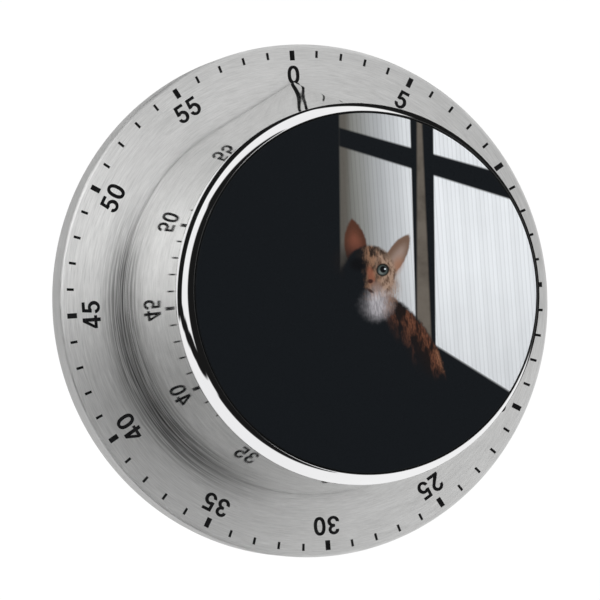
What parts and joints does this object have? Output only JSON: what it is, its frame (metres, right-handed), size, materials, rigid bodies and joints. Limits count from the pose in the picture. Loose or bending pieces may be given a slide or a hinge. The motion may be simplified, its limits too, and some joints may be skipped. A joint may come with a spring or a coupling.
{
  "type": "kitchen timer",
  "caption": "Round magnetic mechanical kitchen timer: brushed steel dial ring with minute marks, tall turning knob with pointer and picture disc, wind-up movement inside.",
  "frame": {"origin": "on the dial's axis, in the plane of the magnet's rear face", "axes": "-Y out of the dial face, +Y out of the magnet's rear face, +Z towards the zero mark, as the timer hangs on a steel door"},
  "size_m": [0.076, 0.0327, 0.076],
  "materials": {
    "brushed_steel_ring": "circular brushed stainless steel",
    "brushed_steel_knob": "circular brushed stainless steel",
    "bright_chrome": "polished chrome",
    "printed_disc": "gloss printed disc",
    "black_plastic": "fine moulded texture",
    "grey_plastic": "moulded",
    "ferrite": "sintered ferrite",
    "zinc_steel": "bright zinc plated steel",
    "plate_steel": "zinc plated steel plate",
    "hard_steel": "turned and stamped steel",
    "spring_steel": "blued spring steel",
    "brass": "stamped brass",
    "gong_steel": "nickel plated steel",
    "felt": "felt washer"
  },
  "bodies": {
    "case": {"dial_ring": "brushed_steel_ring", "movement_housing": "black_plastic", "back_cover": "black_plastic", "case_screws": "zinc_steel", "magnet_disc": "ferrite", "magnet_yoke": "zinc_steel", "back_plate": "plate_steel", "front_plate": "plate_steel", "plate_pillars": "plate_steel", "back_plate_screws": "zinc_steel", "movement_screws": "zinc_steel", "front_bush": "brass", "knob_washer": "felt", "gong": "gong_steel", "gong_post": "zinc_steel", "gong_screw": "zinc_steel", "mainspring": "spring_steel", "spring_post": "zinc_steel"},
    "knob": {"knob_shell": "brushed_steel_knob", "knob_hub": "grey_plastic", "bezel_ring": "bright_chrome", "picture_disc": "printed_disc", "main_arbor": "hard_steel", "great_wheel": "brass", "ratchet_wheel": "hard_steel", "click": "hard_steel", "click_spring": "spring_steel", "trip_cam": "hard_steel"},
    "second_arbor": {"second_pinion": "hard_steel", "second_wheel": "brass"},
    "third_arbor": {"third_pinion": "hard_steel", "third_wheel": "brass"},
    "escape_arbor": {"escape_pinion": "hard_steel", "escape_wheel": "brass"},
    "verge": {"verge": "hard_steel", "verge_arbor": "hard_steel", "verge_weight": "brass"},
    "alarm_lever": {"alarm_lever": "hard_steel", "lever_arbor": "hard_steel"},
    "hammer": {"hammer_arm": "hard_steel", "hammer_head": "brass", "hammer_arbor": "hard_steel"}
  },
  "joints": [
    {"name": "knob_turn", "type": "hinge", "parent": "case", "child": "knob", "pos_m": [0, -0.02, 0], "axis": [0, 1, 0], "range_deg": [0, 360]},
    {"name": "second_turn", "type": "hinge", "parent": "case", "child": "second_arbor", "pos_m": [-0.00643, -0.015, 0.01114], "axis": [0, 1, 0], "range_deg": [-2520, 0]},
    {"name": "third_turn", "type": "hinge", "parent": "case", "child": "third_arbor", "pos_m": [0.00323, -0.015, 0.01311], "axis": [0, 1, 0], "range_deg": [0, 15120]},
    {"name": "escape_turn", "type": "hinge", "parent": "case", "child": "escape_arbor", "pos_m": [0.01018, -0.015, 0.01101], "axis": [0, 1, 0], "range_deg": [-75600, 0]},
    {"name": "verge_rock", "type": "hinge", "parent": "case", "child": "verge", "pos_m": [0.01447, -0.017, 0.00741], "axis": [0, 1, 0], "range_deg": [-6, 6]},
    {"name": "alarm_lever_drop", "type": "hinge", "parent": "case", "child": "alarm_lever", "pos_m": [-0.012, -0.0147, -0.0082], "axis": [0, -1, 0], "range_deg": [0, 5.5]},
    {"name": "hammer_swing", "type": "hinge", "parent": "case", "child": "hammer", "pos_m": [0.01441, -0.007, -0.01209], "axis": [0, -1, 0], "range_deg": [0, 6]}
  ],
  "couplings": [
    {"joint": "second_turn", "follows": "knob_turn", "ratio": -7},
    {"joint": "third_turn", "follows": "knob_turn", "ratio": 42},
    {"joint": "escape_turn", "follows": "knob_turn", "ratio": -210}
  ]
}
